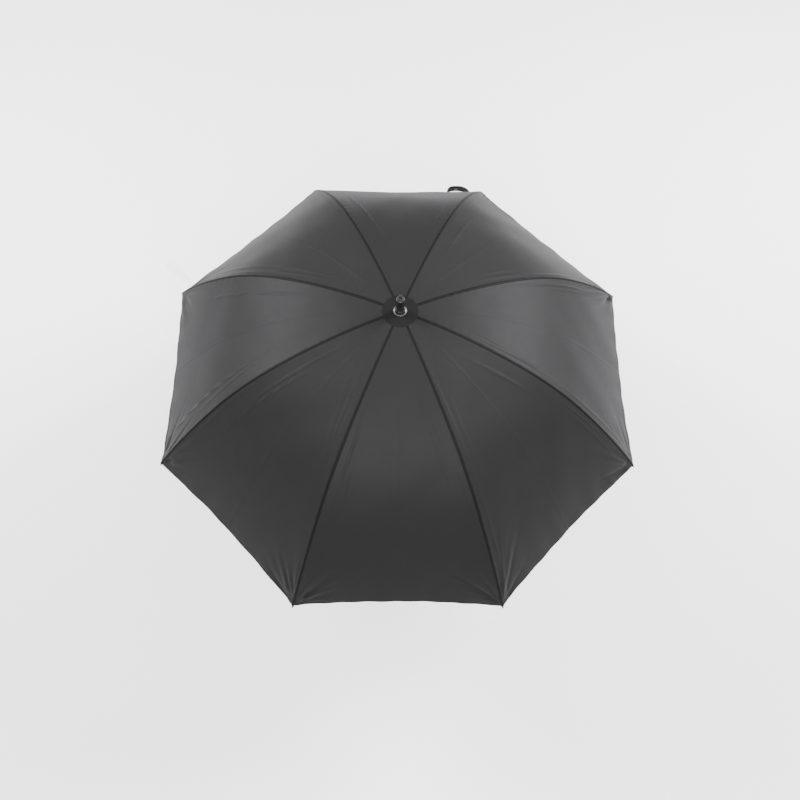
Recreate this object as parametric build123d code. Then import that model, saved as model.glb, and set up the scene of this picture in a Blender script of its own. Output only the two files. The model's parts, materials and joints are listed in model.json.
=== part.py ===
from build123d import *
from math import asin, atan2, cos, degrees, hypot, radians, sin, tan
import os

# Golf umbrella, open. +Z runs up the shaft and the origin is the middle of the foam grip.
# A rib is drawn in its own frame: X outward, Y along the hub's rim, Z up, and is then
# turned to its place about the shaft.

# ---- driving dimensions, mm and degrees ----
RIB_COUNT = 8
TIP_RADIUS = 630.0
FIRST_RIB_AZIMUTH = 112.5
APEX_Z = 836.0

# the canopy's line over a rib: slope at each of these radii, joined by tangent arcs
BEND_RADII = (0.0, 0.47 * TIP_RADIUS, 0.72 * TIP_RADIUS, TIP_RADIUS)
BEND_SLOPES = (-1.8, 21.0, 41.0, 53.3)

RIB_DROP = 3.2
RIB_HALF_WIDTH = 1.8
RIB_HALF_HEIGHT = 1.7
CHANNEL_WALL = 0.5
ROD_R = 1.6
TIP_CAP_R = 2.2
TIP_CAP_LENGTH = 17.0
TIP_CAP_OVERHANG = 9.0
TIP_CAP_EDGE_R = 1.6
TIP_CAP_SEAT = 0.02

RING_RADIUS = 12.0
WIRE_R = 0.9
EYE_R = 2.2
EYE_HOLE_R = 1.15
EYE_THICKNESS = 2.2
EYE_HALF_HEIGHT = 1.6
EYE_TAIL = 1.5
EYE_ROOM = 0.5
WIRE_ROOM = 0.1
NOTCH_Z = 830.0
JOINT_RADIUS = BEND_RADII[1]
JOINT_Z = NOTCH_Z - 58.0
RUNNER_Z = 2 * JOINT_Z - NOTCH_Z
RIVET_R = 1.0
RIVET_HOLE_R = 1.1
RIVET_HEAD_R = 1.9
RIVET_HEAD = 0.6
RIVET_SEAT = 0.03
EAR_THICKNESS = 0.8
EAR_R = 3.0
CHANNEL_START = 24.0
ARM_HALF_WIDTH = 1.6
ARM_HALF_HEIGHT = 1.5
ARM_END = 8.5
ARM_OVERLAP = 2.5
FLEX_RADIUS = JOINT_RADIUS + 12.0
FLEX_GAP = 0.4

SHAFT_R = 7.0
SHAFT_WALL = 0.8
SHAFT_BOTTOM = -66.0
SHAFT_TOP = 876.0
SEAT_GAP = 0.05
STOP_PIN_R = 1.15
STOP_PIN_HOLE_R = 1.2
STOP_PIN_LENGTH = 19.0
STOP_PIN_ABOVE_RUNNER = 5.8

HUB_R = 16.0
HUB_SLOT = 3.0
NOTCH_LOW = -4.0
NOTCH_HIGH = 4.6
NOTCH_SLOT_LOW = -5.0
NOTCH_SLOT_HIGH = 3.3

GRIP_R = 17.0
GRIP_LENGTH = 140.0
GRIP_TAPER = 12.0
GRIP_NECK_R = 12.5
GRIP_EDGE_R = 2.0
END_CAP_HEIGHT = 8.0
END_CAP_R = 16.6
END_CAP_EDGE_R = 5.0
COLLAR_TOP = 84.0
COLLAR_R = 10.5
COLLAR_FOOT_R = 11.5
COLLAR_CHAMFER = 2.0

RUNNER_BORE_R = 7.3
RUNNER_LOW = -6.0
RUNNER_HIGH = 4.0
RUNNER_SLOT_LOW = -3.0
RUNNER_SLOT_HIGH = 5.0
SLEEVE_R = 9.6
SLEEVE_BOTTOM = -62.0
FLANGE_R = 12.0
FLANGE_HEIGHT = 3.5
RUNNER_SLIT = 3.4
WINDOW_HEIGHT = 17.0

# the catches: spring leaves inside the shaft, each with a step that stands out of it
CATCH_THICKNESS = 2.0
CATCH_INNER = 1.5
CATCH_FOOT = 5.6
CATCH_REACH = 11.0
CATCH_STEP = 1.5
CATCH_SLOT = 2.8
CATCH_SLOT_ROOM = 2.0
TOP_CATCH_LENGTH = 22.0
TOP_CATCH_GAP = 0.9
HAND_CATCH_LENGTH = 12.0
HAND_CATCH_GAP = 1.0
HAND_CATCH_SWING = 4.0

CLOSED_ANGLE = 3.0

CLOTH = 0.8
PANEL_GAP = 0.4
PANEL_START = 12.0
PANEL_SECTIONS = 9
HEM_SAG = 6.0
HEM_CUT = 9.0
PATCH_R = 39.5
PATCH_BORE_R = 7.4
PATCH_FOLD_R = 23.0
PATCH_LIFT = 0.3

# the bright cup and the ferrule, on top of the canopy
CUP_Z = 837.7
CUP_R = 15.0
CUP_RIM = 1.5
CUP_SHOULDER_R = 12.4
CUP_SHOULDER = 2.3
CUP_NECK_R = 11.2
CUP_NECK = 8.3
CUP_WELL_R = 9.3
CUP_FLOOR = 2.8
FERRULE_R = 9.0
FERRULE_LOW = 841.0
FERRULE_TOP = 889.0
FERRULE_CHAMFER = 2.0
TIP_FOOT_R = 5.0
TIP_FOOT = 1.5
TIP_R = 3.6
TIP_SHOULDER = 3.0
TIP_STRAIGHT = 11.0
TIP_END_R = 2.6
TIP_LENGTH = 13.0

# the tie strap's loop, as X and Y of its corners, by rib 2
STRAP_ROUTE = ((204, 585), (180, 598), (152, 598), (142, 585))
STRAP_BEND_R = 6.0
STRAP_WIDTH = 22.0
STRAP_THICKNESS = 1.6
STRAP_RISE = 5.0
SNAP_X = 166.0
SNAP_R = 5.5
SNAP_THICKNESS = 2.4

# the tab by rib 8, measured from its panel's middle line
LABEL_LENGTH = 105.0
LABEL_THICKNESS = 0.8
LABEL_ROOT = (199.0, 215.0)
LABEL_FREE = (194.5, 219.5)
LABEL_CORNER_R = 7.0
LABEL_GAP = 0.6
LABEL_DROP = 1.5

# ---- what follows from them ----
HALF_STEP = 180.0 / RIB_COUNT
HEM_DISTANCE = TIP_RADIUS * cos(radians(HALF_STEP))
HEM_HALF = TIP_RADIUS * sin(radians(HALF_STEP))

os.makedirs("parts", exist_ok=True)


# ---- the canopy's line and where the linkage's pivots are ----
def bends():
    """Each arc of the canopy's line as (first slope, last slope, radius, centre X, centre Z)."""
    arcs = []
    z = APEX_Z
    for k in range(len(BEND_RADII) - 1):
        first, last = radians(BEND_SLOPES[k]), radians(BEND_SLOPES[k + 1])
        radius = (BEND_RADII[k + 1] - BEND_RADII[k]) / (sin(last) - sin(first))
        centre_x = BEND_RADII[k] - radius * sin(first)
        centre_z = z - radius * cos(first)
        arcs.append((BEND_SLOPES[k], BEND_SLOPES[k + 1], radius, centre_x, centre_z))
        z = centre_z + radius * cos(last)
    return arcs


ARCS = bends()


def arc_at(x):
    """The arc of the canopy's line that passes over radius x."""
    for k in range(len(ARCS)):
        if x <= BEND_RADII[k + 1]:
            return ARCS[k]
    return ARCS[-1]


def slope_at(x):
    """The slope of the canopy's line at radius x, in degrees."""
    _, _, radius, centre_x, _ = arc_at(x)
    return degrees(asin((x - centre_x) / radius))


def canopy_z(x):
    """Height of the canopy's top face over a rib, at radius x."""
    _, _, radius, _, centre_z = arc_at(x)
    return centre_z + radius * cos(radians(slope_at(x)))


def rib_point(x):
    """The point of the rib's middle line that lies under radius x of the canopy's line."""
    slope = radians(slope_at(x))
    return x - RIB_DROP * sin(slope), canopy_z(x) - RIB_DROP * cos(slope)


HEM_Z = canopy_z(TIP_RADIUS)
FLEX_POINT = rib_point(FLEX_RADIUS)
TIP_POINT = rib_point(TIP_RADIUS)
ARM_LENGTH = hypot(JOINT_RADIUS - RING_RADIUS, NOTCH_Z - JOINT_Z)
CLOSED_RUNNER_Z = NOTCH_Z - 2 * ARM_LENGTH * cos(radians(CLOSED_ANGLE))
TOP_CATCH_Z = RUNNER_Z + RUNNER_LOW - TOP_CATCH_GAP
HAND_CATCH_Z = CLOSED_RUNNER_Z + SLEEVE_BOTTOM + FLANGE_HEIGHT + HAND_CATCH_GAP
STOP_PIN_Z = RUNNER_Z + STOP_PIN_ABOVE_RUNNER


def rib_azimuth(number):
    return FIRST_RIB_AZIMUTH - 2 * HALF_STEP * (number - 1)


def turned(shape, azimuth):
    return shape.rotate(Axis.Z, azimuth)


def save(name, *solids):
    shape = solids[0] if len(solids) == 1 else Compound(children=list(solids))
    shape.label = name
    export_step(shape, f"parts/{name}.step")


def ring_solid(points):
    """A solid of revolution about the shaft from (radius, z) corners."""
    return revolve(Plane.XZ * make_face(Polyline(*points, close=True)), Axis.Z)


def tube(inner, outer, low, high):
    return ring_solid([(inner, low), (outer, low), (outer, high), (inner, high)])


def block(x0, x1, y0, y1, z0, z1):
    return Pos((x0 + x1) / 2, (y0 + y1) / 2, (z0 + z1) / 2) * Box(x1 - x0, y1 - y0, z1 - z0)


def cross_pin(x, z, radius, length):
    """A round bar along Y, centred on the rib's plane."""
    return Pos(x, 0, z) * Rot(90, 0, 0) * Cylinder(radius, length)


def bent_bar(profile, arc, first, last):
    """A profile drawn about the bar's middle (X across, Y up), bent along one arc of the rib."""
    _, _, radius, centre_x, centre_z = arc
    hinge = Axis((centre_x, 0, centre_z), (0, 1, 0))
    stand = Plane((centre_x, 0, centre_z + radius - RIB_DROP), x_dir=(0, 1, 0), z_dir=(1, 0, 0))
    face = (stand * profile).rotate(hinge, first)
    return revolve(face, hinge, last - first)


def channel_profile(half_width, half_height, upward):
    """A U section, its web on top unless it opens upward."""
    outer = Rectangle(2 * half_width, 2 * half_height)
    shift = CHANNEL_WALL if upward else -CHANNEL_WALL
    return outer - Pos(0, shift) * Rectangle(2 * (half_width - CHANNEL_WALL), 2 * half_height)


# ---- shaft, grip and crown ----
def shaft_tube():
    """The tube, with a slot for each catch and a hole for the stop pin."""
    shaft = tube(SHAFT_R - SHAFT_WALL, SHAFT_R, SHAFT_BOTTOM, SHAFT_TOP)
    low = TOP_CATCH_Z - TOP_CATCH_LENGTH - CATCH_SLOT_ROOM
    shaft -= block(0, HUB_R, -CATCH_SLOT / 2, CATCH_SLOT / 2, low, TOP_CATCH_Z + CATCH_SLOT_ROOM)
    high = HAND_CATCH_Z + HAND_CATCH_LENGTH + CATCH_SLOT_ROOM
    shaft -= block(-HUB_R, 0, -CATCH_SLOT / 2, CATCH_SLOT / 2, HAND_CATCH_Z - HAND_CATCH_SWING, high)
    shaft -= cross_pin(0, STOP_PIN_Z, STOP_PIN_HOLE_R, 2 * HUB_R)
    return shaft


def grip():
    half = GRIP_LENGTH / 2
    bore = SHAFT_R + SEAT_GAP
    outline = [(bore, -half), (GRIP_R, -half), (GRIP_R, half - GRIP_TAPER)]
    outline += [(GRIP_NECK_R, half), (bore, half)]
    body = ring_solid(outline)
    outer = body.edges().filter_by(GeomType.CIRCLE).filter_by(lambda e: e.radius > GRIP_NECK_R - 1)
    return fillet(outer, GRIP_EDGE_R)


def end_cap():
    top = -GRIP_LENGTH / 2
    low = top - END_CAP_HEIGHT
    body = ring_solid([(0, low), (END_CAP_R, low), (END_CAP_R, top), (0, top)])
    lower = body.edges().filter_by(GeomType.CIRCLE).sort_by(Axis.Z)[0]
    return fillet(lower, END_CAP_EDGE_R)


def collar():
    low = GRIP_LENGTH / 2
    bore = SHAFT_R + SEAT_GAP
    outline = [(bore, low), (COLLAR_FOOT_R, low), (COLLAR_R, COLLAR_TOP - COLLAR_CHAMFER)]
    outline += [(COLLAR_R - COLLAR_CHAMFER, COLLAR_TOP), (bore, COLLAR_TOP)]
    return ring_solid(outline)


def hub(centre_z, slot_low, slot_high, low, high, bore):
    """A slotted hub around a wire ring, with a fin between every two arms. Heights are from the wire."""
    body = tube(bore, HUB_R, centre_z + low, centre_z + high)
    depth = RING_RADIUS - EYE_R - EYE_ROOM
    for number in range(1, RIB_COUNT + 1):
        slot = block(depth, 2 * HUB_R, -HUB_SLOT / 2, HUB_SLOT / 2, slot_low, slot_high)
        body -= turned(Pos(0, 0, centre_z) * slot, rib_azimuth(number))
    return body - Pos(0, 0, centre_z) * Torus(RING_RADIUS, WIRE_R + WIRE_ROOM)


def top_notch():
    return hub(NOTCH_Z, NOTCH_SLOT_LOW, NOTCH_SLOT_HIGH, NOTCH_LOW, NOTCH_HIGH, SHAFT_R + SEAT_GAP)


def wire_ring(z):
    return Pos(0, 0, z) * Torus(RING_RADIUS, WIRE_R)


def crown_patch():
    """The round patch, sewn over the panels' points."""
    low = [(r, canopy_z(r) + PATCH_LIFT) for r in (PATCH_BORE_R, PATCH_FOLD_R, PATCH_R)]
    high = [(r, z + CLOTH) for r, z in reversed(low)]
    return ring_solid(low + high)


def crown_ring():
    """The bright cup that holds the patch down, with a well for the ferrule's foot."""
    bore = SHAFT_R + SEAT_GAP
    outline = [(bore, 0), (CUP_R, 0), (CUP_R, CUP_RIM), (CUP_SHOULDER_R, CUP_SHOULDER)]
    outline += [(CUP_NECK_R, CUP_NECK), (CUP_WELL_R, CUP_NECK), (CUP_WELL_R, CUP_FLOOR), (bore, CUP_FLOOR)]
    return Pos(0, 0, CUP_Z) * ring_solid(outline)


def ferrule():
    """A sleeve over the shaft's end, closed on top."""
    bore = SHAFT_R + SEAT_GAP
    ceiling = SHAFT_TOP + FERRULE_CHAMFER
    outline = [(bore, FERRULE_LOW), (FERRULE_R, FERRULE_LOW), (FERRULE_R, FERRULE_TOP - FERRULE_CHAMFER)]
    outline += [(FERRULE_R - FERRULE_CHAMFER, FERRULE_TOP), (0, FERRULE_TOP)]
    outline += [(0, ceiling), (bore, ceiling)]
    return ring_solid(outline)


def ferrule_tip():
    outline = [(0, 0), (TIP_FOOT_R, 0), (TIP_FOOT_R, TIP_FOOT), (TIP_R, TIP_SHOULDER)]
    outline += [(TIP_R, TIP_STRAIGHT), (TIP_END_R, TIP_LENGTH), (0, TIP_LENGTH)]
    return Pos(0, 0, FERRULE_TOP) * ring_solid(outline)


# ---- runner and catches ----
def runner():
    """A slotted crown on a sleeve, slit on one side for the top catch, with a window for the other catch."""
    bottom = RUNNER_Z + SLEEVE_BOTTOM
    crown = RUNNER_Z + RUNNER_LOW
    window = bottom + FLANGE_HEIGHT
    body = hub(RUNNER_Z, RUNNER_SLOT_LOW, RUNNER_SLOT_HIGH, RUNNER_LOW, RUNNER_HIGH, RUNNER_BORE_R)
    body += tube(RUNNER_BORE_R, SLEEVE_R, bottom, crown)
    body += tube(RUNNER_BORE_R, FLANGE_R, bottom, window)
    body -= block(0, HUB_R, -RUNNER_SLIT / 2, RUNNER_SLIT / 2, bottom - FLANGE_HEIGHT, crown)
    body -= block(-HUB_R, 0, -RUNNER_SLIT / 2, RUNNER_SLIT / 2, window, window + WINDOW_HEIGHT)
    return body


def catch(points):
    """A flat spring leaf with its step outside the shaft, from (x, z) corners."""
    leaf = Plane.XZ * make_face(Polyline(*points, close=True))
    return extrude(leaf, CATCH_THICKNESS / 2, both=True)


def top_catch():
    """It holds the open runner up on its flat step, and its long slope lets the runner ride over it."""
    z = TOP_CATCH_Z
    foot = z - TOP_CATCH_LENGTH
    outline = [(CATCH_INNER, foot), (CATCH_FOOT, foot), (CATCH_REACH, z - CATCH_STEP), (CATCH_REACH, z)]
    return catch(outline + [(CATCH_INNER, z)])


def hand_catch():
    """It holds the shut runner down by its flange, from the other side of the shaft."""
    z = HAND_CATCH_Z
    foot = z + HAND_CATCH_LENGTH
    outline = [(-CATCH_INNER, z), (-CATCH_REACH, z), (-CATCH_REACH, z + CATCH_STEP), (-CATCH_FOOT, foot)]
    return catch(outline + [(-CATCH_INNER, foot)])


# ---- ribs and stretchers, each in the rib's own frame ----
def rib_inner():
    """A fluted rib from its eye at the crown to the socket, with the ears that hold the stretcher."""
    profile = channel_profile(RIB_HALF_WIDTH, RIB_HALF_HEIGHT, upward=False)
    flute = bent_bar(profile, ARCS[0], slope_at(CHANNEL_START), ARCS[0][1])
    last = slope_at(FLEX_RADIUS) - degrees((ROD_R + FLEX_GAP) / ARCS[1][2])
    flute += bent_bar(profile, ARCS[1], ARCS[1][0], last)
    start_x, start_z = rib_point(CHANNEL_START)
    run = hypot(start_x - RING_RADIUS, start_z - NOTCH_Z) + EYE_TAIL
    lean = -degrees(atan2(start_z - NOTCH_Z, start_x - RING_RADIUS))
    eye = block(0, run, -EYE_THICKNESS / 2, EYE_THICKNESS / 2, -EYE_HALF_HEIGHT, EYE_HALF_HEIGHT)
    eye += cross_pin(0, 0, EYE_R, EYE_THICKNESS)
    eye -= cross_pin(0, 0, EYE_HOLE_R, 2 * EYE_THICKNESS)
    eye = Pos(RING_RADIUS, 0, NOTCH_Z) * Rot(0, lean, 0) * eye
    return flute + eye + rib_ears(), rivet()


def rivet():
    """The headed pin that the stretcher's end turns on."""
    outside = RIB_HALF_WIDTH + EAR_THICKNESS
    pin = cross_pin(JOINT_RADIUS, JOINT_Z, RIVET_R, 2 * outside)
    for side in (-1, 1):
        head = cross_pin(JOINT_RADIUS, JOINT_Z, RIVET_HEAD_R, RIVET_HEAD)
        pin += Pos(0, side * (outside + RIVET_HEAD / 2), 0) * head
    return pin


def rib_ears():
    """The pair of plates that hang from the rib beside the stretcher's end."""
    ears = None
    top_z = rib_point(JOINT_RADIUS)[1]
    for side in (-1, 1):
        y0 = side * RIB_HALF_WIDTH
        y1 = side * (RIB_HALF_WIDTH + EAR_THICKNESS)
        plate = block(JOINT_RADIUS - EAR_R, JOINT_RADIUS + EAR_R, min(y0, y1), max(y0, y1), JOINT_Z, top_z)
        plate += Pos(0, (y0 + y1) / 2, 0) * cross_pin(JOINT_RADIUS, JOINT_Z, EAR_R, EAR_THICKNESS)
        hole = cross_pin(JOINT_RADIUS, JOINT_Z, RIVET_R + RIVET_SEAT, 2 * EAR_THICKNESS)
        plate -= Pos(0, (y0 + y1) / 2, 0) * hole
        ears = plate if ears is None else ears + plate
    return ears


def rib_outer():
    """The round rod from the socket to the tip, with a ball end that the socket holds."""
    disc = Circle(ROD_R)
    rod = bent_bar(disc, ARCS[1], slope_at(FLEX_RADIUS), ARCS[1][1])
    rod += bent_bar(disc, ARCS[2], ARCS[2][0], ARCS[2][1])
    return rod + Pos(FLEX_POINT[0], 0, FLEX_POINT[1]) * Sphere(ROD_R)


def rib_tip():
    """The cap on the rod's end, which the canopy's corner is sewn to."""
    socket = 2 * (TIP_CAP_LENGTH - TIP_CAP_OVERHANG)
    sleeve = Cylinder(TIP_CAP_R, TIP_CAP_LENGTH)
    sleeve = fillet(sleeve.edges().sort_by(Axis.Z)[-1], TIP_CAP_EDGE_R)
    sleeve -= Pos(0, 0, -TIP_CAP_LENGTH / 2) * Cylinder(ROD_R + TIP_CAP_SEAT, socket)
    sleeve = Pos(0, 0, TIP_CAP_OVERHANG - TIP_CAP_LENGTH / 2) * sleeve
    return Pos(TIP_POINT[0], 0, TIP_POINT[1]) * Rot(0, 90 + BEND_SLOPES[-1], 0) * sleeve


def stretcher():
    """A fluted arm from the rib's ears down to the runner, its ends pressed flat."""
    middle = Plane.YZ * channel_profile(ARM_HALF_WIDTH, ARM_HALF_HEIGHT, upward=True)
    flat_end = ARM_END + ARM_OVERLAP
    thick, high = EYE_THICKNESS / 2, ARM_HALF_HEIGHT
    arm = Pos(ARM_END, 0, 0) * extrude(middle, ARM_LENGTH - 2 * ARM_END)
    for start in (0, ARM_LENGTH - flat_end):
        arm += block(start, start + flat_end, -thick, thick, -high, high)
    for x, hole in ((0, RIVET_HOLE_R), (ARM_LENGTH, EYE_HOLE_R)):
        arm += cross_pin(x, 0, EYE_R, EYE_THICKNESS)
        arm -= cross_pin(x, 0, hole, 2 * EYE_THICKNESS)
    lean = degrees(atan2(NOTCH_Z - JOINT_Z, JOINT_RADIUS - RING_RADIUS))
    return Pos(JOINT_RADIUS, 0, JOINT_Z) * Rot(0, 180 - lean, 0) * Rot(180, 0, 0) * arm


# ---- canopy, strap and label ----
def panel_section(x):
    """A panel cut across at distance x from the shaft: a thin strip, low in its middle."""
    edge_y = x * tan(radians(HALF_STEP)) - PANEL_GAP
    edge_z = canopy_z(hypot(x, edge_y))
    middle_z = edge_z - HEM_SAG * (x / HEM_DISTANCE) ** 2
    cloth = Vector(0, 0, -CLOTH)
    left, middle, right = Vector(x, -edge_y, edge_z), Vector(x, 0, middle_z), Vector(x, edge_y, edge_z)
    over = Edge.make_three_point_arc(left, middle, right)
    under = Edge.make_three_point_arc(right + cloth, middle + cloth, left + cloth)
    sides = [Edge.make_line(right, right + cloth), Edge.make_line(left + cloth, left)]
    return Wire([over, sides[0], under, sides[1]])


def panel():
    """One gore, its hem cut in a shallow curve between the two rib tips."""
    step = (HEM_DISTANCE - PANEL_START) / (PANEL_SECTIONS - 1)
    gore = Solid.make_loft([panel_section(PANEL_START + k * step) for k in range(PANEL_SECTIONS)])
    hem_radius = (HEM_HALF ** 2 + HEM_CUT ** 2) / (2 * HEM_CUT)
    cutter = Pos(HEM_DISTANCE - HEM_CUT + hem_radius, 0, HEM_Z) * Cylinder(hem_radius, 2 * TIP_RADIUS)
    return gore - cutter


def closure_strap():
    """The tie strap by rib 2, folded into a loop that stands out past the hem."""
    band = trace(FilletPolyline(*STRAP_ROUTE, radius=STRAP_BEND_R), line_width=STRAP_THICKNESS)
    return Pos(0, 0, HEM_Z + STRAP_RISE - STRAP_WIDTH) * extrude(band, STRAP_WIDTH)


def strap_snap():
    """The press stud on the inner face of the strap's loop."""
    y = STRAP_ROUTE[1][1] - (STRAP_THICKNESS + SNAP_THICKNESS) / 2
    stud = Rot(90, 0, 0) * Cylinder(SNAP_R, SNAP_THICKNESS)
    return Pos(SNAP_X, y, HEM_Z + STRAP_RISE - STRAP_WIDTH / 2) * stud


def care_label():
    """The blank sewn tab beside rib 8, wider and rounded at its free end."""
    root = HEM_DISTANCE + LABEL_GAP
    free = root + LABEL_LENGTH
    outline = [(root, LABEL_ROOT[0]), (free, LABEL_FREE[0]), (free, LABEL_FREE[1]), (root, LABEL_ROOT[1])]
    sheet = extrude(make_face(Polyline(*outline, close=True)), LABEL_THICKNESS)
    corners = sheet.edges().filter_by(Axis.Z).sort_by(Axis.X)[-2:]
    sheet = Pos(0, 0, HEM_Z - LABEL_DROP) * fillet(corners, LABEL_CORNER_R)
    return turned(sheet, FIRST_RIB_AZIMUTH + HALF_STEP)


# ---- the parts ----
def main():
    save("shaft_tube", shaft_tube())
    save("handle_grip", grip())
    save("handle_end_cap", end_cap())
    save("handle_collar", collar())
    save("stop_pin", cross_pin(0, STOP_PIN_Z, STOP_PIN_R, STOP_PIN_LENGTH))
    save("top_notch", top_notch())
    save("notch_wire", wire_ring(NOTCH_Z))
    save("crown_patch", crown_patch())
    save("crown_ring", crown_ring())
    save("ferrule", ferrule())
    save("ferrule_tip", ferrule_tip())
    save("runner", runner())
    save("runner_wire", wire_ring(RUNNER_Z))
    save("top_catch", top_catch())
    save("hand_catch", hand_catch())
    save("closure_strap", closure_strap())
    save("strap_snap", strap_snap())
    save("care_label", care_label())
    inner, outer, tip, arm, cloth = rib_inner(), rib_outer(), rib_tip(), stretcher(), panel()
    for number in range(1, RIB_COUNT + 1):
        azimuth = rib_azimuth(number)
        save(f"rib_{number}_inner", *[turned(solid, azimuth) for solid in inner])
        save(f"rib_{number}_outer", turned(outer, azimuth))
        save(f"rib_{number}_tip", turned(tip, azimuth))
        save(f"stretcher_{number}", turned(arm, azimuth))
        save(f"canopy_panel_{number}", turned(cloth, azimuth - HALF_STEP))


main()
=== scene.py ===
import bmesh
import bpy
import json
import numpy as np
from math import cos, hypot, pi, radians, sin, tan
from mathutils import Matrix, Vector


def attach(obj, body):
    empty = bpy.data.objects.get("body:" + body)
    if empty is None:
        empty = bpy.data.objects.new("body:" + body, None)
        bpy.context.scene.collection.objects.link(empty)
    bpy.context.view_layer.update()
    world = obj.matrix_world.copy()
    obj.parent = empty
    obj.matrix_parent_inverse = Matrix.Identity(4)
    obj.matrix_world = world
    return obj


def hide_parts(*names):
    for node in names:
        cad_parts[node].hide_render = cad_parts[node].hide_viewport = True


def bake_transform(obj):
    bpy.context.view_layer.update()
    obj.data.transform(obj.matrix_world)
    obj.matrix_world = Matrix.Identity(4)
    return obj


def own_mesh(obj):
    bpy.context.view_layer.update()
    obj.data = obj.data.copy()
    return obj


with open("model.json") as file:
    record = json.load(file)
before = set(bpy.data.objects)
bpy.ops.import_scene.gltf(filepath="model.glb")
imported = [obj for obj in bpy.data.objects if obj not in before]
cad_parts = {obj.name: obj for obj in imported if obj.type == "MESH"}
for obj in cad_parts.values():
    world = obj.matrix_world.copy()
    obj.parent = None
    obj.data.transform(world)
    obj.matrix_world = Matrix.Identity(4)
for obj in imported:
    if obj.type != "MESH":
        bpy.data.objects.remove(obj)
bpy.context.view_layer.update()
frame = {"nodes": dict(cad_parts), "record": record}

# ---- the canopy's sizes, in metres and degrees, as the CAD has them ----
RIBS = 8
TIP_RADIUS = 0.63
FIRST_RIB_AZIMUTH = 112.5
APEX_Z = 0.836
BEND_RADII = (0.0, 0.47 * TIP_RADIUS, 0.72 * TIP_RADIUS, TIP_RADIUS)
BEND_SLOPES = (-1.8, 21.0, 41.0, 53.3)
FLEX_RADIUS = 0.3081
FLEX_MIDLINE = 0.3235
HALF_STEP = radians(180.0 / RIBS)
HEM_DISTANCE = TIP_RADIUS * cos(HALF_STEP)
HEM_HALF = TIP_RADIUS * sin(HALF_STEP)
HEM_SAG = 0.006
HEM_CUT = 0.009
PANEL_START = 0.012
HINGE_RADIUS = 0.012


# ---- camera ----
CAMERA_ELEVATION = radians(66.98)
CAMERA_TURN = radians(-1.978)
CAMERA_ROLL = radians(2.153)
CAMERA_DISTANCE = 2.161
CAMERA_TARGET = Vector((0.0071, 0.0, 0.3388))
CAMERA_LENS = 35.04


def make_camera():
    """Looks down on the open canopy from the front, turned and rolled a little."""
    turn = Matrix.Rotation(CAMERA_TURN, 3, "Z")
    target = turn @ CAMERA_TARGET
    away = turn @ Vector((0, -cos(CAMERA_ELEVATION), sin(CAMERA_ELEVATION)))
    right = (-away).cross(Vector((0, 0, 1))).normalized()
    up = right.cross(-away)
    rolled_right = cos(CAMERA_ROLL) * right + sin(CAMERA_ROLL) * up
    rolled_up = -sin(CAMERA_ROLL) * right + cos(CAMERA_ROLL) * up
    camera = bpy.data.objects.new("camera", bpy.data.cameras.new("camera"))
    bpy.context.scene.collection.objects.link(camera)
    rotation = Matrix((rolled_right, rolled_up, away)).transposed().to_4x4()
    camera.matrix_world = Matrix.Translation(target + CAMERA_DISTANCE * away) @ rotation
    camera.data.lens = CAMERA_LENS
    camera.data.sensor_width = 36.0
    bpy.context.scene.camera = camera


# ---- materials ----
def new_material(name):
    material = bpy.data.materials.new(name)
    material.use_nodes = True
    tree = material.node_tree
    shader = next(n for n in tree.nodes if n.type == "BSDF_PRINCIPLED")
    return material, tree, shader


def node(tree, kind, inputs=None, **settings):
    """A new node. inputs maps a socket's name or number to a value, or to another node's output."""
    made = tree.nodes.new(kind)
    for key, value in settings.items():
        setattr(made, key, value)
    for key, value in (inputs or {}).items():
        if isinstance(value, bpy.types.NodeSocket):
            tree.links.new(value, made.inputs[key])
        else:
            made.inputs[key].default_value = value
    return made


def grey(value, tint=(1.0, 1.0, 1.0)):
    return tuple(value * t for t in tint) + (1.0,)


def noise(tree, where, scale, detail=3.0, rough=0.55):
    values = {"Vector": where, "Scale": scale, "Detail": detail, "Roughness": rough}
    return node(tree, "ShaderNodeTexNoise", values).outputs[0]


def ramp(tree, value, low, high, out_low, out_high):
    made = node(tree, "ShaderNodeMapRange", {0: value, 1: low, 2: high, 3: out_low, 4: out_high})
    return made.outputs[0]


def math(tree, operation, a, b=0.0):
    return node(tree, "ShaderNodeMath", {0: a, 1: b}, operation=operation).outputs[0]


def solid_material(name, colour, rough, metallic=0.0, coat=0.0, grain=400.0, bump=0.02,
                   spread=0.25, wear=0.06, brushed=None):
    """A moulded, painted or metal finish with grain, uneven gloss and tone."""
    material, tree, shader = new_material(name)
    where = node(tree, "ShaderNodeTexCoord").outputs["Object"]
    fine = noise(tree, where, grain)
    if brushed:
        stretched = node(tree, "ShaderNodeMapping", {"Vector": where, "Scale": brushed}).outputs[0]
        fine = noise(tree, stretched, grain, 4.0)
    broad = noise(tree, where, 14.0, 4.0)
    dark = tuple(c * (1 - wear) for c in colour[:3]) + (1.0,)
    light = tuple(min(1.0, c * (1 + wear) + 0.002) for c in colour[:3]) + (1.0,)
    tone = node(tree, "ShaderNodeMix", {0: ramp(tree, broad, 0.35, 0.65, 0.0, 1.0)}, data_type="RGBA")
    tone.inputs[6].default_value = dark
    tone.inputs[7].default_value = light
    tree.links.new(tone.outputs[2], shader.inputs["Base Color"])
    gloss = ramp(tree, fine, 0.3, 0.7, rough * (1 - spread), min(1.0, rough * (1 + spread)))
    tree.links.new(gloss, shader.inputs["Roughness"])
    relief = node(tree, "ShaderNodeBump", {"Height": fine, "Strength": bump * 10, "Distance": 0.0001})
    tree.links.new(relief.outputs[0], shader.inputs["Normal"])
    shader.inputs["Metallic"].default_value = metallic
    shader.inputs["Coat Weight"].default_value = coat
    shader.inputs["Coat Roughness"].default_value = 0.12
    return material


WEAVE = 0.00042
STITCH = 0.0028
THROUGH_GAIN = 2.2


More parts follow.
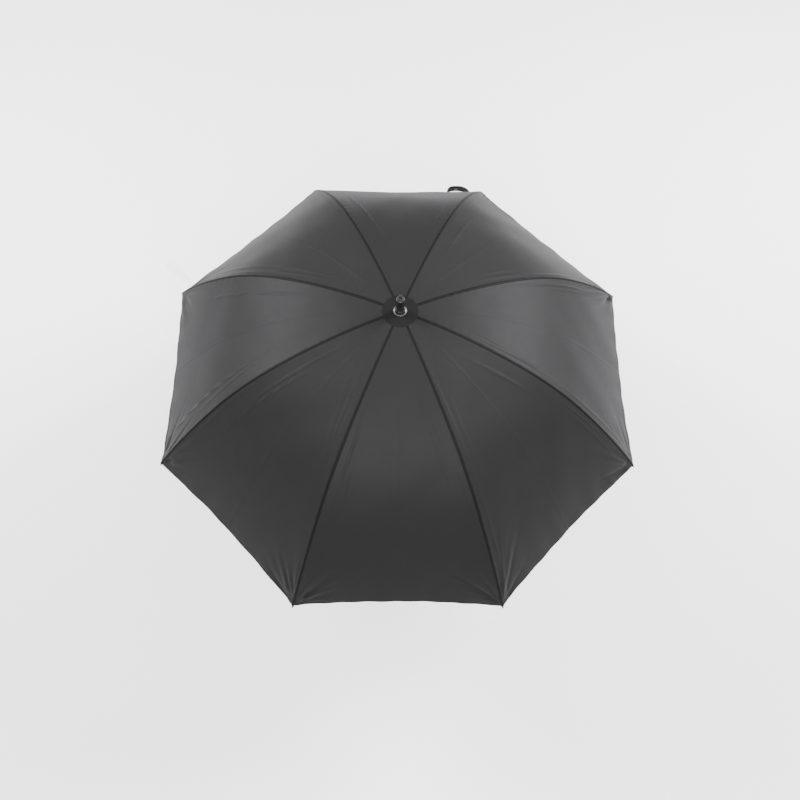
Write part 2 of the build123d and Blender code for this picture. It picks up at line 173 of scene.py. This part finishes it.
def weave_height(tree, where, pitch):
    """Over and under threads of a plain weave, from UV in metres."""
    parts = node(tree, "ShaderNodeSeparateXYZ", {0: where})
    u = math(tree, "MULTIPLY", parts.outputs[0], 2 * pi / pitch)
    v = math(tree, "MULTIPLY", parts.outputs[1], 2 * pi / pitch)
    crossing = math(tree, "MULTIPLY", math(tree, "SINE", u), math(tree, "SINE", v))
    return crossing, parts


def cloth_material(name, colour, rough=0.5, through=0.1, pitch=WEAVE, sheen=0.4, specular=0.5, stitches=()):
    """Woven polyester: thread relief, slubs, a satin gloss, some light through it, and rows of stitches."""
    material, tree, shader = new_material(name)
    where = node(tree, "ShaderNodeTexCoord").outputs["UV"]
    weave, parts = weave_height(tree, where, pitch)
    slubs = node(tree, "ShaderNodeMapping", {"Vector": where, "Scale": (900.0, 40.0, 1.0)}).outputs[0]
    streaks = noise(tree, slubs, 1.0, 2.0)
    broad = noise(tree, where, 9.0, 5.0, 0.6)
    cloudy = ramp(tree, broad, 0.3, 0.7, 0.97, 1.03)
    shade = math(tree, "MULTIPLY", cloudy, ramp(tree, streaks, 0.2, 0.8, 0.95, 1.05))
    shade = math(tree, "MULTIPLY", shade, ramp(tree, weave, -1.0, 1.0, 0.93, 1.07))
    height = weave
    for row in stitches:
        near = math(tree, "ABSOLUTE", math(tree, "SUBTRACT", parts.outputs[0], row))
        line = ramp(tree, near, 0.0003, 0.0006, 1.0, 0.0)
        along = math(tree, "PINGPONG", parts.outputs[1], STITCH / 2)
        dash = ramp(tree, along, 0.0003, 0.0005, 0.0, 1.0)
        thread = math(tree, "MULTIPLY", line, dash)
        shade = math(tree, "MULTIPLY", shade, ramp(tree, thread, 0.0, 1.0, 1.0, 1.6))
        height = math(tree, "ADD", height, math(tree, "MULTIPLY", thread, 5.0))
    tint = node(tree, "ShaderNodeMix", {0: 1.0}, data_type="RGBA", blend_type="MULTIPLY")
    tint.inputs[6].default_value = colour
    tree.links.new(shade, tint.inputs[7])
    tree.links.new(tint.outputs[2], shader.inputs["Base Color"])
    gloss = ramp(tree, noise(tree, where, 60.0, 3.0), 0.3, 0.7, rough * 0.98, rough * 1.02)
    tree.links.new(gloss, shader.inputs["Roughness"])
    relief = node(tree, "ShaderNodeBump", {"Height": height, "Strength": 0.35, "Distance": 0.00004})
    tree.links.new(relief.outputs[0], shader.inputs["Normal"])
    shader.inputs["Specular IOR Level"].default_value = specular
    shader.inputs["Sheen Weight"].default_value = sheen
    shader.inputs["Sheen Roughness"].default_value = 0.35
    shader.inputs["Sheen Tint"].default_value = (0.8, 0.8, 0.86, 1.0)
    if through:
        glow = tuple(min(1.0, c * THROUGH_GAIN) for c in colour[:3]) + (1.0,)
        lit = node(tree, "ShaderNodeBsdfTranslucent", {"Color": glow})
        mixed = node(tree, "ShaderNodeMixShader", {0: through, 1: shader.outputs[0], 2: lit.outputs[0]})
        output = next(n for n in tree.nodes if n.type == "OUTPUT_MATERIAL")
        tree.links.new(mixed.outputs[0], output.inputs[0])
    return material


CLOTH_TINT = (1.03, 1.0, 1.0)
CANOPY = cloth_material("canopy_cloth", grey(0.009, CLOTH_TINT), 0.56, through=0.0, sheen=0.0, specular=0.1)
# The seam cloth is near black. This is partly the seam's own doubled cloth and partly painted shade: the
# shadow of the rib beneath, showing through the cloth.
SEAM_CLOTH_AND_RIB_SHADE = cloth_material("seam_cloth_and_painted_rib_shade", grey(0.003, CLOTH_TINT), 0.6, through=0.0, sheen=0.0, specular=0.08,
                      stitches=(-0.0022, 0.0022))
PATCH = cloth_material("patch_cloth", grey(0.005, CLOTH_TINT), 0.6, through=0.0, sheen=0.0, specular=0.08)
STRAP = cloth_material("strap_cloth", grey(0.003), 0.7, through=0.0, pitch=0.0009, sheen=0.0, specular=0.2)
LABEL = cloth_material("label_cloth", grey(0.85), 0.5, through=0.15, pitch=0.0005, sheen=0.1)
FOAM = solid_material("foam", grey(0.022), 0.85, grain=1500.0, bump=0.09, spread=0.1)
PLASTIC = solid_material("plastic", grey(0.02), 0.42, grain=1800.0, bump=0.03)
BLACK_PAINT = solid_material("shaft_paint", grey(0.02), 0.3, coat=0.4, grain=300.0, bump=0.01)
ARM_COAT = solid_material("arm_coat", grey(0.03), 0.38, metallic=0.5, coat=0.2, grain=500.0, bump=0.02)
ROD_GLASS = solid_material("rod_glass", grey(0.03), 0.3, coat=0.3, grain=700.0, bump=0.01)
FERRULE = solid_material("ferrule_paint", grey(0.004), 0.45, coat=0.1, grain=250.0, bump=0.004)
CHROME = solid_material("dark_chrome", grey(0.12), 0.3, metallic=1.0, grain=600.0, bump=0.004,
                        brushed=(1.0, 1.0, 12.0))
STEEL = solid_material("steel", grey(0.55), 0.3, metallic=1.0, grain=500.0, bump=0.02,
                       brushed=(1.0, 1.0, 20.0))

SLOT_MATERIALS = {
    "shaft": BLACK_PAINT,
    "arm_metal": ARM_COAT,
    "rod": ROD_GLASS,
    "steel": STEEL,
    "chrome": CHROME,
    "ferrule": FERRULE,
    "plastic": PLASTIC,
    "foam": FOAM,
    "canopy_cloth": CANOPY,
    "strap_cloth": STRAP,
    "label_cloth": LABEL,
}

NODE_MATERIALS = {"strap_snap": ARM_COAT, "ferrule_tip": FERRULE}


def dress_cad_nodes():
    """Each carried-over CAD node gets the finish of its slot."""
    for part in frame["record"]["subparts"]:
        piece = frame["nodes"][part["node"]]
        piece.data.materials.clear()
        piece.data.materials.append(NODE_MATERIALS.get(part["node"], SLOT_MATERIALS[part["material_slot"]]))
        piece.data.shade_smooth()


# ---- the canopy's surface ----
def bends():
    """Each tangent arc of the canopy's line: its radius, and its centre's distance and height."""
    arcs = []
    z = APEX_Z
    for k in range(len(BEND_RADII) - 1):
        first, last = radians(BEND_SLOPES[k]), radians(BEND_SLOPES[k + 1])
        radius = (BEND_RADII[k + 1] - BEND_RADII[k]) / (sin(last) - sin(first))
        centre_z = z - radius * cos(first)
        arcs.append((radius, BEND_RADII[k] - radius * sin(first), centre_z))
        z = centre_z + radius * cos(last)
    return arcs


ARCS = bends()


def canopy_z(x):
    """Height of the canopy over a rib, at distances x from the shaft."""
    heights = [cz + np.sqrt(np.maximum(r * r - (x - cx) ** 2, 1e-9)) for r, cx, cz in ARCS]
    return np.select([x <= BEND_RADII[1], x <= BEND_RADII[2]], heights[:2], heights[2])


def height_over_rib(radius):
    return float(canopy_z(np.array(radius)))


def rib_azimuth(number):
    return radians(FIRST_RIB_AZIMUTH) - 2 * HALF_STEP * (number - 1)


def panel_azimuth(number):
    return rib_azimuth(number) - HALF_STEP


# how strongly each panel creases at its two tips: on the side of rising azimuth, then on the other
CORNER_CREASES = (
    (0.7, 0.8), (2.2, 1.3), (1.5, 0.9), (0.9, 1.1),
    (1.0, 1.0), (1.1, 0.9), (0.8, 1.4), (1.6, 0.7),
)


def smooth_step(x):
    """Rises smoothly from 0 at x = 0 to 1 at x = 1."""
    x = np.clip(x, 0.0, 1.0)
    return x * x * (3 - 2 * x)


CORNER_FOLDS = 13
SEAM_FOLDS = 3
FOLD_CLEAR_OF_RIB = 0.011
PUCKER = 0.00022
MIDLINE_RIDGE = 0.00022
MIDLINE_DIP = 0.00006
SEAM_FOLD = 0.0008
BILLOWS = ((0.21, 0.0009), (0.12, 0.0004))
HEM_FLUTTER = 0.0007


def corner_folds(rng, panel, x, y, edge):
    """Sharp folds that fan out from the panel's two tips."""
    out = np.zeros_like(x)
    for side, strength in zip((1, -1), CORNER_CREASES[panel - 1]):
        dx, dy = HEM_DISTANCE - x, HEM_HALF - side * y
        d = np.hypot(dx, dy) + 1e-6
        angle = np.arctan2(dy, dx)
        for _ in range(CORNER_FOLDS):
            lean, turn = rng.uniform(0.42, 1.45), rng.uniform(-0.9, 0.9)
            start, reach = rng.uniform(0.008, 0.03), rng.uniform(0.04, 0.10)
            wide, height = rng.uniform(0.0030, 0.0050), rng.uniform(-0.0026, 0.0018)
            off = (angle - lean - turn * d) * d
            along_fold = smooth_step((d - start) / 0.015) * np.exp(-((d - start) / reach) ** 2)
            clear = smooth_step(edge / FOLD_CLEAR_OF_RIB)
            out += strength * height * along_fold * np.exp(-(off / wide) ** 2) * clear
    return out


def seam_puckers(rng, x, y, edge):
    """Small puckers along both seams, where the thread draws the cloth up."""
    out = np.zeros_like(x)
    along = np.hypot(x, y)
    for side in (1, -1):
        here = smooth_step((side * y + 0.004) / 0.008)
        pitch, phase = rng.uniform(0.019, 0.027), rng.uniform(0, 2 * pi)
        wave = np.sin(2 * pi * along / pitch + phase + 1.5 * np.sin(along * 31 + phase))
        swell = 0.6 + 0.4 * np.sin(along * 17 + phase * 2)
        out += PUCKER * here * swell * wave * np.exp(-np.maximum(edge, 0) / 0.014)
    return out


def midline_crease(x, y):
    """The pressed crease that the folded cloth keeps along the panel's middle."""
    fade = smooth_step((x - 0.05) / 0.1)
    ridge = MIDLINE_RIDGE * fade * np.exp(-np.abs(y) / 0.0018)
    return ridge - MIDLINE_DIP * fade * np.exp(-((np.abs(y) - 0.007) / 0.005) ** 2)


def seam_folds(rng, x, y, edge):
    """Long thin folds that run beside the seams."""
    out = np.zeros_like(x)
    along = np.hypot(x, y)
    for side in (1, -1):
        here = smooth_step((side * y + 0.004) / 0.008)
        for _ in range(SEAM_FOLDS):
            off, wide = rng.uniform(0.010, 0.05), rng.uniform(0.0022, 0.004)
            middle, reach = rng.uniform(0.25, 0.5), rng.uniform(0.05, 0.11)
            lean = rng.uniform(-0.06, 0.06)
            line = (edge - off - lean * (along - middle)) / wide
            out += SEAM_FOLD * here * np.exp(-line ** 2) * np.exp(-((along - middle) / reach) ** 2)
    return out


def billows(rng, x, y, edge):
    """Broad, shallow waves of the stretched cloth."""
    out = np.zeros_like(x)
    for scale, amount in BILLOWS:
        ax, ay = rng.uniform(0.7, 1.3, 2).tolist()
        px, py = rng.uniform(0, 2 * pi, 2).tolist()
        swing = np.cos(2 * pi * y / scale * ay * 0.8 + py)
        wave = np.sin(2 * pi * x / scale * ax + px + 2.0 * y / scale) * swing
        out += amount * wave * smooth_step(edge / 0.05) * smooth_step((x - 0.04) / 0.12)
    return out


def hem_flutter(rng, x, y, edge):
    """The loose edge between the tips waves a little."""
    hem = np.maximum(HEM_DISTANCE - HEM_CUT * (1 - (y / HEM_HALF) ** 2) - x, 0)
    flutter = np.sin(2 * pi * y / rng.uniform(0.06, 0.09) + rng.uniform(0, 6)) * HEM_FLUTTER
    return flutter * np.exp(-hem / 0.03) * smooth_step(edge / 0.06)


def creases(panel, x, y):
    """How far the cloth stands out from its smooth shape, x along the middle line and y across it."""
    rng = np.random.default_rng(100 + panel)
    edge = (x * tan(HALF_STEP) - np.abs(y)) * cos(HALF_STEP)
    out = corner_folds(rng, panel, x, y, edge)
    out += seam_puckers(rng, x, y, edge)
    out += midline_crease(x, y)
    out += seam_folds(rng, x, y, edge)
    out += billows(rng, x, y, edge)
    out += hem_flutter(rng, x, y, edge)
    return out * smooth_step((x - PANEL_START) / 0.05)


def smooth_shape(x, y):
    """Height of a panel's smooth cloth: the rib's own line at both edges, with a little sag between."""
    rise = x / cos(HALF_STEP)
    across = np.clip(np.abs(y) / np.maximum(x * tan(HALF_STEP), 1e-6), 0.0, 1.2)
    return canopy_z(rise) - HEM_SAG * (x / HEM_DISTANCE) ** 2 * (1 - across ** 2)


def surface(panel, x, y, lift=0.0):
    """Points of a panel's cloth in the shared frame, lifted off along the normals, and its normals."""
    azimuth = panel_azimuth(panel)

    def point(px, py):
        step = 1e-4
        slope_x = (smooth_shape(px + step, py) - smooth_shape(px - step, py)) / (2 * step)
        slope_y = (smooth_shape(px, py + step) - smooth_shape(px, py - step)) / (2 * step)
        size = np.sqrt(1 + slope_x ** 2 + slope_y ** 2)
        out = creases(panel, px, py)
        height = smooth_shape(px, py) + out / size
        return np.stack([px - out * slope_x / size, py - out * slope_y / size, height], -1)

    here = point(x, y)
    step = 5e-4
    inward = np.where(y > 0, -step, step)
    along = point(x + step, y) - point(x - step, y)
    across = (point(x, y + inward) - here) * np.sign(inward)[..., None]
    normals = np.cross(along, across)
    normals /= np.linalg.norm(normals, axis=-1, keepdims=True)
    here = here + normals * np.asarray(lift)[..., None]
    turn = np.array([[cos(azimuth), -sin(azimuth), 0], [sin(azimuth), cos(azimuth), 0], [0, 0, 1]])
    return here @ turn.T, normals @ turn.T


def grid_object(name, points, normals, uv, material, flip=False):
    """A quad mesh from rows of points, with its own normals and a UV map in metres."""
    rows, columns = points.shape[:2]
    index = np.arange(rows * columns).reshape(rows, columns)
    quads = np.stack([index[:-1, :-1], index[1:, :-1], index[1:, 1:], index[:-1, 1:]], -1).reshape(-1, 4)
    if flip:
        quads = quads[:, ::-1]
    mesh = bpy.data.meshes.new(name)
    mesh.from_pydata(points.reshape(-1, 3).tolist(), [], quads.tolist())
    layer = mesh.uv_layers.new(name="UVMap")
    flat_uv = uv.reshape(-1, 2)
    loops = np.array([loop.vertex_index for loop in mesh.loops])
    layer.data.foreach_set("uv", flat_uv[loops].astype(np.float32).ravel())
    mesh.materials.append(material)
    mesh.shade_smooth()
    if normals is not None:
        mesh.normals_split_custom_set_from_vertices(normals.reshape(-1, 3).tolist())
    piece = bpy.data.objects.new(name, mesh)
    bpy.context.scene.collection.objects.link(piece)
    return piece


def slab_object(name, points, thickness, uv, material):
    """A closed sheet with real thickness, from rows of points on its middle surface."""
    along, across = np.gradient(points, axis=0), np.gradient(points, axis=1)
    normals = np.cross(along, across)
    normals /= np.linalg.norm(normals, axis=-1, keepdims=True)
    top, under = points + normals * thickness / 2, points - normals * thickness / 2
    ring = np.concatenate([top, under[:, ::-1], top[:, :1]], 1)
    ring_uv = np.concatenate([uv, uv[:, ::-1], uv[:, :1]], 1)
    piece = grid_object(name, ring, None, ring_uv, material)
    build = bmesh.new()
    build.from_mesh(piece.data)
    bmesh.ops.remove_doubles(build, verts=build.verts, dist=1e-6)
    open_edges = [edge for edge in build.edges if edge.is_boundary]
    bmesh.ops.holes_fill(build, edges=open_edges)
    bmesh.ops.recalc_face_normals(build, faces=build.faces)
    build.to_mesh(piece.data)
    build.free()
    piece.data.shade_smooth()
    return piece


# ---- the half panels, with numbers for how one would gather as the umbrella shuts; the gather is not applied ----
# In the shut umbrella, seen along a rib: "out" from the shaft and "over" towards the panel's middle line.
GATHER = {
    "inner": {
        "reach": (HINGE_RADIUS, FLEX_RADIUS),
        "out": -0.5694, "over": 0.8221, "rise": 0.004, "keep": 0.0535,
    },
    "outer": {
        "reach": (FLEX_RADIUS, TIP_RADIUS),
        "out": -0.5516, "over": 0.8341, "rise": 0.0166, "keep": 0.0968,
    },
}
COLUMNS = 50
COLUMN_CROWDING = 0.11
ROW_CROWDING = 0.10
INNER_ROWS = 40
OUTER_ROWS = 72
HEM_FOLD = 0.008
HEM_THICKNESS = 0.0007
UNDERLAP = 0.016
UNDERLAP_AT_RIB = 0.25
UNDERLAP_DROP = 0.0006
HEM_EDGE_DIP = 0.3


def gathered(piece, rib, part):
    """Gives the piece its own copy of its mesh; the gather towards its rib as the umbrella folds is not
    applied.
    """
    azimuth = rib_azimuth(rib)
    radial = Vector((cos(azimuth), sin(azimuth), 0))
    values = GATHER[part]
    start, end = (radius * radial + Vector((0, 0, height_over_rib(radius))) for radius in values["reach"])
    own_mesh(piece)


def column_shares():
    """Shares from the middle line to the rib, closer together at both ends."""
    t = np.linspace(0.0, 1.0, COLUMNS + 1)
    return t - COLUMN_CROWDING * np.sin(2 * pi * t)


def hem_x(share):
    """The hollow-cut hem's distance from the shaft, at a share of the way to the rib."""
    return HEM_DISTANCE - HEM_CUT * (1 - share ** 2)


def flex_x(share):
    """The line where the inner and outer halves meet."""
    return FLEX_MIDLINE + (FLEX_RADIUS * cos(HALF_STEP) - FLEX_MIDLINE) * share


def half_panel(rib, side, part):
    """One side of a panel, over its inner rib or over its rod. side is 1 towards rising azimuth."""
    panel = rib if side < 0 else (rib - 2) % RIBS + 1
    share = column_shares()[None, :]
    if part == "inner":
        t = np.linspace(0.0, 1.0, INNER_ROWS + 1)[:, None]
        x = PANEL_START + (flex_x(share) - PANEL_START) * t
        lift = np.zeros_like(x)
    else:
        t = np.linspace(0.0, 1.0, OUTER_ROWS + 1)[:, None]
        t = t + ROW_CROWDING * np.sin(pi * t) * t
        x = flex_x(share) + (hem_x(share) - flex_x(share)) * t
        lift = np.zeros_like(x)
        reach = UNDERLAP * (UNDERLAP_AT_RIB + (1 - UNDERLAP_AT_RIB) * (1 - share))
        under = flex_x(share) - reach * np.array([[1.0], [0.5]])
        fold = hem_x(share) - HEM_FOLD * np.array([[0.0], [0.5], [1.0]])
        x = np.concatenate([under, x, fold])
        below, folded = np.full_like(under, -UNDERLAP_DROP), np.full_like(fold, -HEM_THICKNESS)
        lift = np.concatenate([below, lift, folded])
    y = -side * share * x * tan(HALF_STEP)
    points, normals = surface(panel, x, y, lift)
    if part == "outer":
        normals[-3:] = -normals[-3:]
        outward = [cos(panel_azimuth(panel)), sin(panel_azimuth(panel)), -HEM_EDGE_DIP]
        normals[-3] = np.array(outward) / hypot(1, HEM_EDGE_DIP)
    uv = np.stack([y, np.hypot(x, canopy_z(x) - APEX_Z)], -1)
    name = f"canopy_{part}_{rib}{'a' if side > 0 else 'b'}"
    piece = grid_object(name, points, normals, uv, CANOPY, flip=side > 0)
    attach(piece, f"rib_{rib}" if part == "inner" else f"rod_{rib}")
    gathered(piece, rib, part)
    declare_cloth(x, part)
    return piece


def declare_cloth(x, part):
    """Works out the length of a half panel's flat cut along its middle line, and does not use it."""
    length = float(arc_length(x[-3 if part == "outer" else -1].mean()) - arc_length(x[0].mean()))


def arc_length(x):
    """Length of cloth from the shaft to x, along a panel's middle line."""
    steps = np.linspace(0.0, x, 200)
    heights = smooth_shape(steps, np.zeros_like(steps))
    return np.hypot(np.diff(steps), np.diff(heights)).sum()


SEAM_WIDTH = 0.007
SEAM_HEIGHT = 0.0008
SEAM_START = 0.03
SEAM_NEAR_TIP = 0.60
SEAM_RIPPLE = 0.00012
SEAM_RIPPLE_PITCH = 0.011
SEAM_BLEND = 0.006


def seam(rib):
    """The flat-felled seam over a rib, from under the crown patch to the tip. Its near-black cloth is
    partly the seam's own doubled cloth and partly painted shade of the rib under it.
    """
    spans = (SEAM_START, SEAM_NEAR_TIP, 150), (SEAM_NEAR_TIP + 0.003, TIP_RADIUS - 0.0005, 12)
    radii = np.concatenate([np.linspace(*span) for span in spans])
    across = np.linspace(-1.0, 1.0, 9)
    points, normals = [], []
    for share in across:
        side = 1 if share > 0 else -1
        panel = rib if side < 0 else (rib - 2) % RIBS + 1
        off = abs(share) * SEAM_WIDTH / 2 * np.ones_like(radii)
        x = radii * cos(HALF_STEP) + off * sin(HALF_STEP)
        y = -side * (radii * sin(HALF_STEP) - off * cos(HALF_STEP))
        ripple = SEAM_RIPPLE * np.sin(radii * 2 * pi / SEAM_RIPPLE_PITCH + share * 2)
        lift = SEAM_RIPPLE + SEAM_HEIGHT * (1 - abs(share) ** 3) + ripple * (1 - abs(share))
        row, row_normals = surface(panel, x, y, lift)
        points.append(row)
        normals.append(row_normals)
    points = np.stack(points, 1)
    uv = np.stack([np.broadcast_to(across * SEAM_WIDTH / 2, points.shape[:2]),
                   np.broadcast_to(radii[:, None], points.shape[:2])], -1)
    piece = grid_object(f"seam_{rib}", points, None, uv, SEAM_CLOTH_AND_RIB_SHADE)
    for radius in (FLEX_RADIUS - SEAM_BLEND, FLEX_RADIUS + SEAM_BLEND):
        height_over_rib(radius)
    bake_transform(piece)
    return piece


PATCH_RADIUS = 0.0395
PATCH_BORE = 0.0074
PATCH_LIFT = 0.0011


def patch_sector(rib, side):
    """A sixteenth of the round crown patch, which folds down with its rib."""
    panel = rib if side < 0 else (rib - 2) % RIBS + 1
    flat = np.linspace(PATCH_BORE, PATCH_RADIUS - 0.001, 14)
    radii = np.concatenate([flat, [PATCH_RADIUS, PATCH_RADIUS + 0.0002]])
    turn = np.linspace(0.0, 1.0, 13)
    r, share = np.meshgrid(radii, turn, indexing="ij")
    wavy = 1 + 0.012 * (r / PATCH_RADIUS) ** 4 * np.cos(2 * pi * share)
    x = r * wavy * np.cos(share * HALF_STEP)
    y = -side * r * wavy * np.sin(share * HALF_STEP)
    lift = np.full_like(r, PATCH_LIFT)
    lift[-2] = 0.0008
    lift[-1] = -0.0003
    lift += 0.00012 * np.sin(r * 900) * (r > 0.03)
    points, normals = surface(panel, x, y, lift)
    outward = np.stack([points[-1, :, 0], points[-1, :, 1], 0 * x[-1]], -1) / PATCH_RADIUS
    normals[-1] = normals[-1] * 0.3 + outward
    uv = np.stack([y, x], -1)
    name = f"crown_patch_{rib}{'a' if side > 0 else 'b'}"
    piece = grid_object(name, points, normals, uv, PATCH, flip=side > 0)
    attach(piece, f"rib_{rib}")
    gathered(piece, rib, "inner")
    return piece


def make_canopy():
    """All eight gores as half panels, with their seams and the crown patch."""
    for rib in range(1, RIBS + 1):
        strip = seam(rib)
        for side in (1, -1):
            for part in ("inner", "outer"):
                half_panel(rib, side, part)
            patch = patch_sector(rib, side)
            if rib == 1 and side == 1:
                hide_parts("crown_patch")
        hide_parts(f"canopy_panel_{rib}")


# ---- the tie strap and the tab ----
STRAP_ROUTE = (
    (0.204, 0.580), (0.196, 0.590), (0.180, 0.598),
    (0.152, 0.598), (0.142, 0.590), (0.142, 0.580),
)
STRAP_WIDTH = 0.022
STRAP_THICKNESS = 0.0012
STRAP_BELLY = 0.0006
STRAP_SWAY = 0.0008
STRAP_TOP = height_over_rib(TIP_RADIUS) + 0.005


def smooth_path(corners, count):
    """Points evenly along a smooth curve through the corners."""
    corners = np.array(corners, float)
    padded = np.vstack([2 * corners[0] - corners[1], corners, 2 * corners[-1] - corners[-2]])
    found = []
    for k in range(len(corners) - 1):
        a, b, c, d = padded[k:k + 4]
        for t in np.linspace(0, 1, 40, endpoint=False):
            found.append(0.5 * (2 * b + (c - a) * t + (2 * a - 5 * b + 4 * c - d) * t ** 2
                                + (3 * b - a - 3 * c + d) * t ** 3))
    found.append(corners[-1])
    found = np.array(found)
    run = np.concatenate([[0], np.cumsum(np.linalg.norm(np.diff(found, axis=0), axis=1))])
    even = np.linspace(0, run[-1], count)
    return np.stack([np.interp(even, run, found[:, k]) for k in range(found.shape[1])], -1), run[-1]


def make_strap():
    """The tie strap, a flat tape standing on edge in a loop by a rib tip."""
    path, length = smooth_path(STRAP_ROUTE, 60)
    shares = np.linspace(0, 1, 9)
    tangent = np.gradient(path, axis=0)
    tangent /= np.linalg.norm(tangent, axis=1, keepdims=True)
    side = np.stack([tangent[:, 1], -tangent[:, 0]], -1)
    sway = STRAP_TOP + STRAP_SWAY * np.sin(np.linspace(0, 5, len(path)))
    rows = []
    for share in shares:
        belly = side * STRAP_BELLY * sin(pi * share)
        rows.append(np.column_stack([path + belly, sway - STRAP_WIDTH * share]))
    uv = np.stack(np.meshgrid(np.linspace(0, length, len(path)), shares * STRAP_WIDTH, indexing="ij"), -1)
    piece = slab_object("tie_strap", np.stack(rows, 1), STRAP_THICKNESS, uv, STRAP)
    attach(piece, "rod_2")
    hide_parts("closure_strap")


LABEL_LENGTH = 0.105
LABEL_SEWN = 0.004
LABEL_HALF = (0.008, 0.0125)
LABEL_ROUND = 0.008
LABEL_OFFSET = 0.207
LABEL_DROP = 0.0011
LABEL_THICKNESS = 0.0007


def make_label():
    """The blank tab, in the frame of the panel it hangs by: along its middle line and across it."""
    azimuth = radians(FIRST_RIB_AZIMUTH) + HALF_STEP
    run = np.linspace(0, 1, 44)
    shares = np.linspace(-1, 1, 15)
    half = LABEL_HALF[0] + (LABEL_HALF[1] - LABEL_HALF[0]) * run
    round_end = np.clip((run * LABEL_LENGTH - (LABEL_LENGTH - LABEL_ROUND)) / LABEL_ROUND, 0, 1)
    half = half * np.sqrt(np.maximum(1 - (round_end * 0.96) ** 2, 0.02))
    x = HEM_DISTANCE - LABEL_SEWN + run[:, None] * (LABEL_LENGTH + LABEL_SEWN) + 0 * shares[None, :]
    y = LABEL_OFFSET + half[:, None] * shares[None, :]
    base = height_over_rib(TIP_RADIUS) - LABEL_DROP
    height = base + 0.0012 * np.sin(run * 2.4)[:, None] + 0.0004 * (1 - shares[None, :] ** 2)
    turned = [x * cos(azimuth) - y * sin(azimuth), x * sin(azimuth) + y * cos(azimuth), height]
    points = np.stack(turned, -1)
    uv = np.stack(np.meshgrid(run * LABEL_LENGTH, shares * LABEL_HALF[1], indexing="ij"), -1)
    piece = slab_object("sewn_tab", points, LABEL_THICKNESS, uv, LABEL)
    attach(piece, "rod_8")
    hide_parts("care_label")


# ---- floor, background and light ----
FLOOR_Z = -0.078
FLOOR_SIZE = 30
WORLD_STRENGTH = 0.75
LAMP_TARGET = Vector((0, 0, 0.5))
LAMPS = (
    ("left", (-2.6, 1.4, 2.6), 1.6, 290.0),
    ("right", (2.6, 1.4, 2.6), 1.6, 370.0),
    ("over", (0.0, -2.6, 4.2), 3.0, 380.0),
)


def make_stage():
    """A plain pale floor under an even sky, with two soft lamps at the sides and one over the front."""
    material, tree, shader = new_material("floor")
    where = node(tree, "ShaderNodeTexCoord").outputs["Object"]
    tone = ramp(tree, noise(tree, where, 0.6, 2.0), 0.3, 0.7, 0.9, 0.93)
    tree.links.new(tone, shader.inputs["Base Color"])
    shader.inputs["Roughness"].default_value = 0.9
    bpy.ops.mesh.primitive_plane_add(size=FLOOR_SIZE, location=(0, 0, FLOOR_Z))
    floor = bpy.context.object
    floor.name = "floor"
    floor.data.materials.append(material)
    world = bpy.data.worlds.new("studio")
    world.use_nodes = True
    background = next(n for n in world.node_tree.nodes if n.type == "BACKGROUND")
    background.inputs[0].default_value = (1.0, 0.99, 0.98, 1.0)
    background.inputs[1].default_value = WORLD_STRENGTH
    bpy.context.scene.world = world
    for name, place, size, power in LAMPS:
        lamp = bpy.data.lights.new(name, "AREA")
        lamp.shape = "DISK"
        lamp.size = size
        lamp.energy = power
        lamp.color = (0.97, 0.965, 1.0)
        light = bpy.data.objects.new(name, lamp)
        light.location = place
        light.rotation_mode = "QUATERNION"
        light.rotation_quaternion = (LAMP_TARGET - Vector(place)).to_track_quat("-Z", "Y")
        bpy.context.scene.collection.objects.link(light)


make_camera()
make_stage()
dress_cad_nodes()
make_canopy()
make_strap()
make_label()
